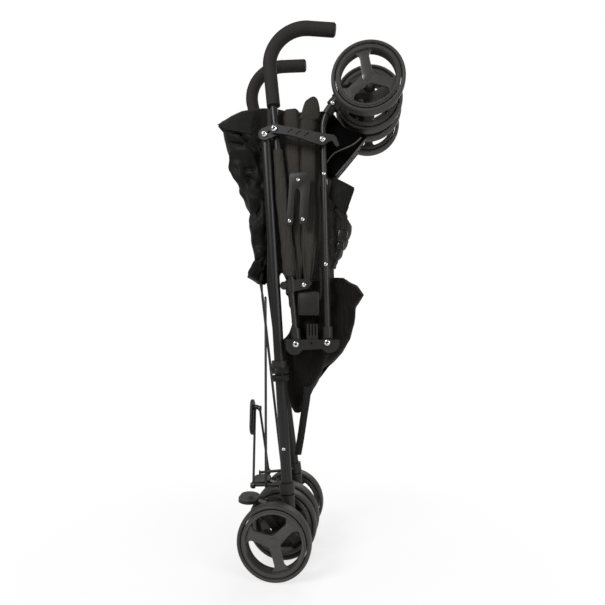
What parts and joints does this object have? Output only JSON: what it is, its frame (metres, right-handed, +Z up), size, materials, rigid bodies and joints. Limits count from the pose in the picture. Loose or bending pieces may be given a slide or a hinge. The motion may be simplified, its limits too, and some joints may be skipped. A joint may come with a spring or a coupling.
{
  "type": "umbrella stroller",
  "caption": "Folded umbrella stroller with hooked grips, twin caster wheels, jointed side frames, cross brace, brake pedals, storage latch and bundled cloth seat, canopy and basket.",
  "frame": {"origin": "on the floor, midway between the rear wheels and under their axle", "axes": "+X towards the front of the stroller, +Y towards its far side, +Z up along the folded stroller"},
  "size_m": [0.3977, 0.243, 1.1017],
  "materials": {
    "frame_tube": "satin",
    "oval_tube": "satin",
    "plastic": "satin",
    "rim": "gloss",
    "tyre": "matt",
    "foam": "matt",
    "steel": "bright",
    "canopy_cloth": "matt",
    "seat_cloth": "matt",
    "basket_mesh": "matt"
  },
  "bodies": {
    "near_rear_leg": {"near_rear_tube": "frame_tube", "near_leg_foot": "plastic", "near_rear_axle": "steel", "near_brace_brackets": "plastic"},
    "near_rear_outer_wheel": {"near_rear_outer_rim": "rim", "near_rear_outer_tyre": "tyre"},
    "near_rear_inner_wheel": {"near_rear_inner_rim": "rim", "near_rear_inner_tyre": "tyre"},
    "near_front_outer_wheel": {"near_front_outer_rim": "rim", "near_front_outer_tyre": "tyre"},
    "near_front_inner_wheel": {"near_front_inner_rim": "rim", "near_front_inner_tyre": "tyre"},
    "near_brake_pedal": {"near_brake_pedal": "plastic"},
    "near_strut": {"near_strut_rod": "oval_tube", "foot_plate": "plastic"},
    "near_cross_bar": {"near_cross_bar": "oval_tube"},
    "near_push_frame": {"near_push_tube": "frame_tube", "near_lower_rod": "oval_tube", "near_grip": "foam", "near_seat_bracket": "plastic", "near_side_link": "plastic", "canopy": "canopy_cloth", "seat_back": "seat_cloth", "seat_bundle": "seat_cloth", "basket": "basket_mesh"},
    "near_knuckle": {"near_knuckle": "plastic"},
    "near_front_leg": {"near_front_tube": "oval_tube", "near_caster_socket": "plastic", "latch_stud": "steel", "calf_panel": "seat_cloth"},
    "near_caster": {"near_caster_fork": "plastic", "near_front_axle": "steel"},
    "far_rear_leg": {"far_rear_tube": "frame_tube", "far_leg_foot": "plastic", "far_rear_axle": "steel", "far_brace_brackets": "plastic"},
    "far_rear_outer_wheel": {"far_rear_outer_rim": "rim", "far_rear_outer_tyre": "tyre"},
    "far_rear_inner_wheel": {"far_rear_inner_rim": "rim", "far_rear_inner_tyre": "tyre"},
    "far_front_outer_wheel": {"far_front_outer_rim": "rim", "far_front_outer_tyre": "tyre"},
    "far_front_inner_wheel": {"far_front_inner_rim": "rim", "far_front_inner_tyre": "tyre"},
    "far_brake_pedal": {"far_brake_pedal": "plastic"},
    "far_strut": {"far_strut_rod": "oval_tube"},
    "far_cross_bar": {"far_cross_bar": "oval_tube"},
    "far_push_frame": {"far_push_tube": "frame_tube", "far_lower_rod": "oval_tube", "far_grip": "foam", "far_seat_bracket": "plastic"},
    "far_knuckle": {"far_knuckle": "plastic"},
    "far_front_leg": {"far_front_tube": "oval_tube", "far_caster_socket": "plastic"},
    "far_caster": {"far_caster_fork": "plastic", "far_front_axle": "steel"},
    "far_side_link": {"far_side_link": "plastic"},
    "latch": {"latch_arm": "plastic"}
  },
  "joints": [
    {"name": "fold", "type": "hinge", "parent": "near_rear_leg", "child": "near_push_frame", "pos_m": [-0.02861, -0.065, 0.86439], "axis": [0, -1, 0], "range_deg": [0, 35.5]},
    {"name": "near_knuckle_fold", "type": "hinge", "parent": "near_push_frame", "child": "near_knuckle", "pos_m": [0.03611, -0.065, 0.43927], "axis": [0, -1, 0], "range_deg": [-87.8, 0]},
    {"name": "near_front_leg_fold", "type": "hinge", "parent": "near_knuckle", "child": "near_front_leg", "pos_m": [0.09802, -0.065, 0.44273], "axis": [0, -1, 0], "range_deg": [-87.8, 0]},
    {"name": "far_leg_spread", "type": "slide", "parent": "near_rear_leg", "child": "far_rear_leg", "axis": [0, 1, 0], "range_m": [0, 0.214]},
    {"name": "far_push_spread", "type": "slide", "parent": "near_push_frame", "child": "far_push_frame", "axis": [0, 1, 0], "range_m": [0, 0.19]},
    {"name": "far_knuckle_spread", "type": "slide", "parent": "near_knuckle", "child": "far_knuckle", "axis": [0, 1, 0], "range_m": [0, 0.19]},
    {"name": "far_front_spread", "type": "slide", "parent": "near_front_leg", "child": "far_front_leg", "axis": [0, 1, 0], "range_m": [0, 0.19]},
    {"name": "near_strut_fold", "type": "hinge", "parent": "near_rear_leg", "child": "near_strut", "pos_m": [-0.05539, -0.049, 0.15324], "axis": [-0.998, 0, -0.0637], "range_deg": [0, 71.69]},
    {"name": "far_strut_fold", "type": "hinge", "parent": "far_rear_leg", "child": "far_strut", "pos_m": [-0.04496, 0.049, 0.1514], "axis": [0.998, 0, 0.0637], "range_deg": [0, 71.69]},
    {"name": "near_cross_bar_fold", "type": "hinge", "parent": "near_rear_leg", "child": "near_cross_bar", "pos_m": [-0.02944, -0.049, 0.1549], "axis": [-0.998, 0, -0.0637], "range_deg": [0, 37.81]},
    {"name": "far_cross_bar_fold", "type": "hinge", "parent": "far_rear_leg", "child": "far_cross_bar", "pos_m": [-0.01423, 0.049, 0.15546], "axis": [0.998, 0, 0.0637], "range_deg": [0, 37.81]},
    {"name": "far_link_turn", "type": "hinge", "parent": "far_rear_leg", "child": "far_side_link", "pos_m": [-0.0822, 0.065, 0.86064], "axis": [0, -1, 0], "range_deg": [-35.75, 0]},
    {"name": "latch_lift", "type": "hinge", "parent": "near_push_frame", "child": "latch", "pos_m": [-0.00747, -0.065, 0.87208], "axis": [0, -1, 0], "range_deg": [0, 60]},
    {"name": "near_brake", "type": "hinge", "parent": "near_rear_leg", "child": "near_brake_pedal", "pos_m": [-0.03, -0.065, 0.121], "axis": [0, -1, 0], "range_deg": [0, 16]},
    {"name": "near_swivel", "type": "hinge", "parent": "near_front_leg", "child": "near_caster", "pos_m": [0.10823, -0.065, 0.91768], "axis": [0.6934, 0, 0.7206], "range_deg": [-4, 4]},
    {"name": "near_rear_outer_spin", "type": "hinge", "parent": "near_rear_leg", "child": "near_rear_outer_wheel", "pos_m": [0, -0.108, 0.071], "axis": [0, -1, 0], "continuous": true},
    {"name": "near_rear_inner_spin", "type": "hinge", "parent": "near_rear_leg", "child": "near_rear_inner_wheel", "pos_m": [0, -0.022, 0.071], "axis": [0, -1, 0], "continuous": true},
    {"name": "near_front_outer_spin", "type": "hinge", "parent": "near_caster", "child": "near_front_outer_wheel", "pos_m": [0.18047, -0.108, 0.94948], "axis": [0, -1, 0], "continuous": true},
    {"name": "near_front_inner_spin", "type": "hinge", "parent": "near_caster", "child": "near_front_inner_wheel", "pos_m": [0.18047, -0.022, 0.94948], "axis": [0, -1, 0], "continuous": true},
    {"name": "far_brake", "type": "hinge", "parent": "far_rear_leg", "child": "far_brake_pedal", "pos_m": [-0.03331, 0.065, 0.11886], "axis": [0, -1, 0], "range_deg": [0, 16]},
    {"name": "far_swivel", "type": "hinge", "parent": "far_front_leg", "child": "far_caster", "pos_m": [0.10823, 0.065, 0.91768], "axis": [0.6934, 0, 0.7206], "range_deg": [-4, 4]},
    {"name": "far_rear_outer_spin", "type": "hinge", "parent": "far_rear_leg", "child": "far_rear_outer_wheel", "pos_m": [0, 0.108, 0.071], "axis": [0, -1, 0], "continuous": true},
    {"name": "far_rear_inner_spin", "type": "hinge", "parent": "far_rear_leg", "child": "far_rear_inner_wheel", "pos_m": [0, 0.022, 0.071], "axis": [0, -1, 0], "continuous": true},
    {"name": "far_front_outer_spin", "type": "hinge", "parent": "far_caster", "child": "far_front_outer_wheel", "pos_m": [0.18047, 0.108, 0.94948], "axis": [0, -1, 0], "continuous": true},
    {"name": "far_front_inner_spin", "type": "hinge", "parent": "far_caster", "child": "far_front_inner_wheel", "pos_m": [0.18047, 0.022, 0.94948], "axis": [0, -1, 0], "continuous": true}
  ],
  "couplings": [
    {"joint": "near_knuckle_fold", "follows": "fold", "ratio": -2.4704},
    {"joint": "near_front_leg_fold", "follows": "fold", "ratio": -2.4704},
    {"joint": "far_leg_spread", "follows": "fold", "m_per_rad": 0.34539},
    {"joint": "far_push_spread", "follows": "fold", "m_per_rad": 0.30665},
    {"joint": "far_knuckle_spread", "follows": "fold", "m_per_rad": 0.30665},
    {"joint": "far_front_spread", "follows": "fold", "m_per_rad": 0.30665},
    {"joint": "near_strut_fold", "follows": "fold", "ratio": 2.0195},
    {"joint": "far_strut_fold", "follows": "fold", "ratio": 2.0195},
    {"joint": "near_cross_bar_fold", "follows": "fold", "ratio": 1.065},
    {"joint": "far_cross_bar_fold", "follows": "fold", "ratio": 1.065},
    {"joint": "far_link_turn", "follows": "fold", "ratio": -0.99285}
  ]
}
